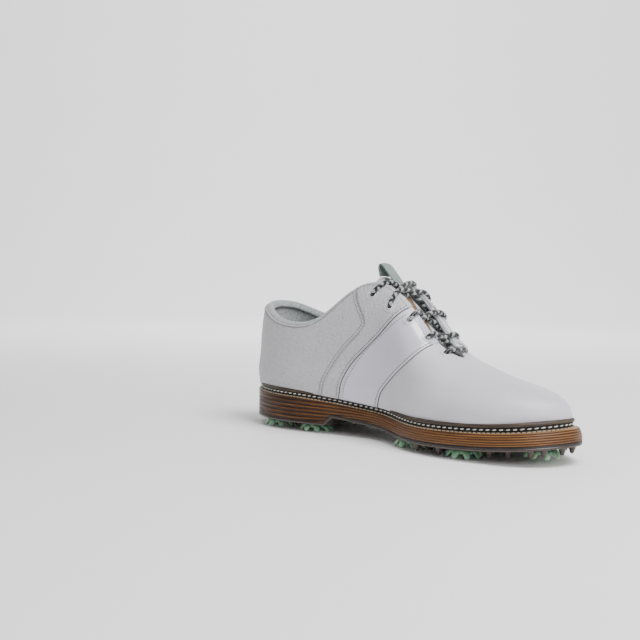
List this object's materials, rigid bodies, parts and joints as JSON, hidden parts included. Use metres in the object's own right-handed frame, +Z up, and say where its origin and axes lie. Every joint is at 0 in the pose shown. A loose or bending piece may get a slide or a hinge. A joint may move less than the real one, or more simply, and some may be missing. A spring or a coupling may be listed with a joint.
{
  "type": "golf shoe",
  "caption": "Welted leather golf shoe for the left foot, laced over a padded tongue, with a stacked sole, a patterned tread and removable twist-lock cleats.",
  "frame": {"origin": "on the ground under the middle of the shoe's bounding box, the shoe standing on its cleats", "axes": "+X to the toe, +Z up, medial side at -Y, lateral side at +Y"},
  "size_m": [0.3023, 0.1122, 0.1342],
  "materials": {
    "leather_smooth": "smooth, satin",
    "leather_pebbled": "pebbled grain, satin",
    "leather_patent": "glossy",
    "tongue_leather": "matt",
    "brown_leather": "satin",
    "lining": "matt knit",
    "backing": "matt",
    "stiffener": "matt",
    "ribbon": "ribbed weave",
    "lace": "braided, speckled",
    "eyelet": "matt",
    "thread": "waxed thread",
    "welt": "satin",
    "cork": "matt",
    "steel": "brushed",
    "stacked_sole": "satin wood grain",
    "tread": "glossy",
    "tread_insert": "satin",
    "badge": "glossy",
    "receptacle": "matt",
    "cleat": "translucent satin"
  },
  "bodies": {
    "shoe": {"vamp": "leather_smooth", "side_strip_medial": "leather_smooth", "side_strip_lateral": "leather_smooth", "backstay": "leather_smooth", "eyestay_medial": "leather_pebbled", "eyestay_lateral": "leather_pebbled", "quarter_medial": "leather_pebbled", "quarter_lateral": "leather_pebbled", "saddle_medial": "leather_patent", "saddle_lateral": "leather_patent", "tongue_outer": "tongue_leather", "tongue_strip": "brown_leather", "vamp_lining": "lining", "quarter_lining": "lining", "tongue_lining": "lining", "sockliner": "lining", "vamp_backing": "backing", "quarter_foam": "backing", "tongue_foam": "backing", "toe_puff": "stiffener", "heel_counter": "stiffener", "insole_board": "stiffener", "pull_tab": "ribbon", "lace": "lace", "eyelets": "eyelet", "welt_thread": "thread", "welt": "welt", "cork_filler": "cork", "shank": "steel", "midsole": "stacked_sole", "heel_block": "stacked_sole", "outsole": "tread", "tread_inserts": "tread_insert", "shank_badge": "badge", "cleat_receptacles": "receptacle"},
    "cleat_toe": {"cleat_toe": "cleat"},
    "cleat_ball_front_medial": {"cleat_ball_front_medial": "cleat"},
    "cleat_ball_rear_medial": {"cleat_ball_rear_medial": "cleat"},
    "cleat_ball_front_lateral": {"cleat_ball_front_lateral": "cleat"},
    "cleat_ball_rear_lateral": {"cleat_ball_rear_lateral": "cleat"},
    "cleat_heel_front_medial": {"cleat_heel_front_medial": "cleat"},
    "cleat_heel_rear_medial": {"cleat_heel_rear_medial": "cleat"},
    "cleat_heel_front_lateral": {"cleat_heel_front_lateral": "cleat"},
    "cleat_heel_rear_lateral": {"cleat_heel_rear_lateral": "cleat"}
  },
  "joints": [
    {"name": "toe_twist", "type": "hinge", "parent": "shoe", "child": "cleat_toe", "pos_m": [0.1275, -0.0138, 0.0096], "axis": [0, 0, -1], "range_deg": [0, 60]},
    {"name": "ball_front_medial_twist", "type": "hinge", "parent": "shoe", "child": "cleat_ball_front_medial", "pos_m": [0.0803, -0.0381, 0.0066], "axis": [0, 0, -1], "range_deg": [0, 60]},
    {"name": "ball_rear_medial_twist", "type": "hinge", "parent": "shoe", "child": "cleat_ball_rear_medial", "pos_m": [0.0284, -0.0307, 0.0066], "axis": [0, 0, -1], "range_deg": [0, 60]},
    {"name": "ball_front_lateral_twist", "type": "hinge", "parent": "shoe", "child": "cleat_ball_front_lateral", "pos_m": [0.0771, 0.0263, 0.0066], "axis": [0, 0, -1], "range_deg": [0, 60]},
    {"name": "ball_rear_lateral_twist", "type": "hinge", "parent": "shoe", "child": "cleat_ball_rear_lateral", "pos_m": [0.0205, 0.0364, 0.0066], "axis": [0, 0, -1], "range_deg": [0, 60]},
    {"name": "heel_front_medial_twist", "type": "hinge", "parent": "shoe", "child": "cleat_heel_front_medial", "pos_m": [-0.0724, -0.0257, 0.0066], "axis": [0, 0, -1], "range_deg": [0, 60]},
    {"name": "heel_rear_medial_twist", "type": "hinge", "parent": "shoe", "child": "cleat_heel_rear_medial", "pos_m": [-0.1112, -0.0268, 0.0066], "axis": [0, 0, -1], "range_deg": [0, 60]},
    {"name": "heel_front_lateral_twist", "type": "hinge", "parent": "shoe", "child": "cleat_heel_front_lateral", "pos_m": [-0.0829, 0.0261, 0.0066], "axis": [0, 0, -1], "range_deg": [0, 60]},
    {"name": "heel_rear_lateral_twist", "type": "hinge", "parent": "shoe", "child": "cleat_heel_rear_lateral", "pos_m": [-0.1198, 0.0204, 0.0066], "axis": [0, 0, -1], "range_deg": [0, 60]}
  ]
}
